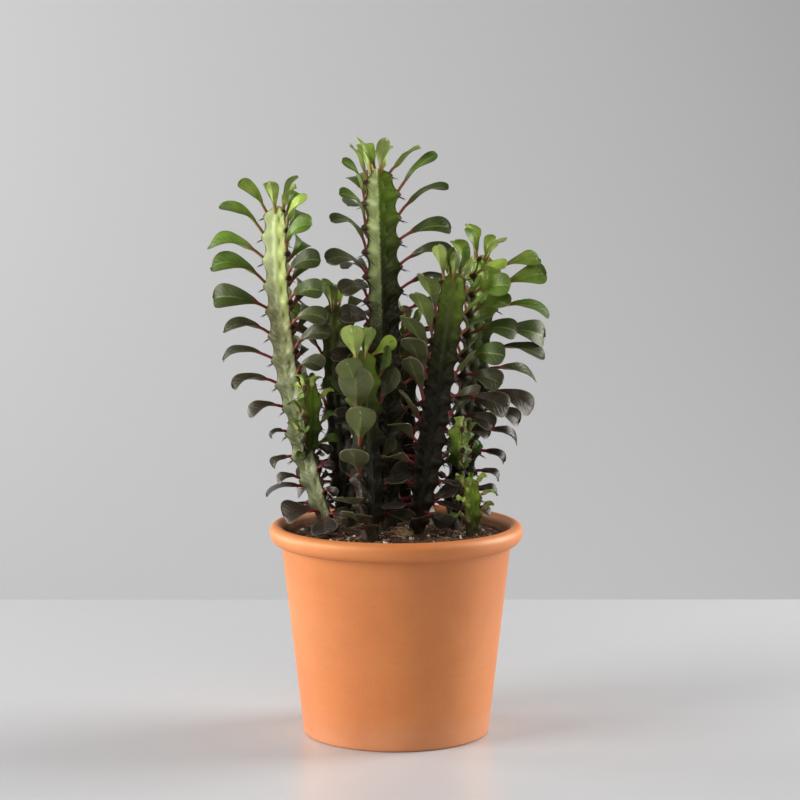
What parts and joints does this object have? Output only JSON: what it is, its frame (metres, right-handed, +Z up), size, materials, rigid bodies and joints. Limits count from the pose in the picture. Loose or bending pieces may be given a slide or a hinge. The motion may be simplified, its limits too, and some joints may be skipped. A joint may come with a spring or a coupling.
{
  "type": "potted euphorbia",
  "caption": "Ribbed, spiny euphorbia with spoon-shaped leaves along its upright stems, growing in soil in a tapered terracotta pot with a rolled rim and a drain hole.",
  "frame": {"origin": "middle of the whole part's footprint, level with the underside of the pot", "axes": "+Z up, +X to the right seen from the front, -Y toward the front"},
  "size_m": [0.2296, 0.171, 0.4008],
  "materials": {
    "pot": "matt, unglazed fired clay",
    "soil": "damp, crumbly",
    "stem_left_tall": "satin, waxy plant skin",
    "stem_centre_tallest": "satin, waxy plant skin",
    "stem_right_back": "satin, waxy plant skin",
    "stem_right_centre": "satin, waxy plant skin",
    "stem_front_short": "satin, waxy plant skin",
    "offshoot_right": "satin, waxy plant skin",
    "stem_back_left": "satin, waxy plant skin",
    "stem_back_centre": "satin, waxy plant skin"
  },
  "bodies": {
    "root": {"pot": "pot", "soil": "soil", "stem_left_tall": "stem_left_tall", "stem_centre_tallest": "stem_centre_tallest", "stem_right_back": "stem_right_back", "stem_right_centre": "stem_right_centre", "stem_front_short": "stem_front_short", "offshoot_right": "offshoot_right", "stem_back_left": "stem_back_left", "stem_back_centre": "stem_back_centre"}
  },
  "joints": []
}
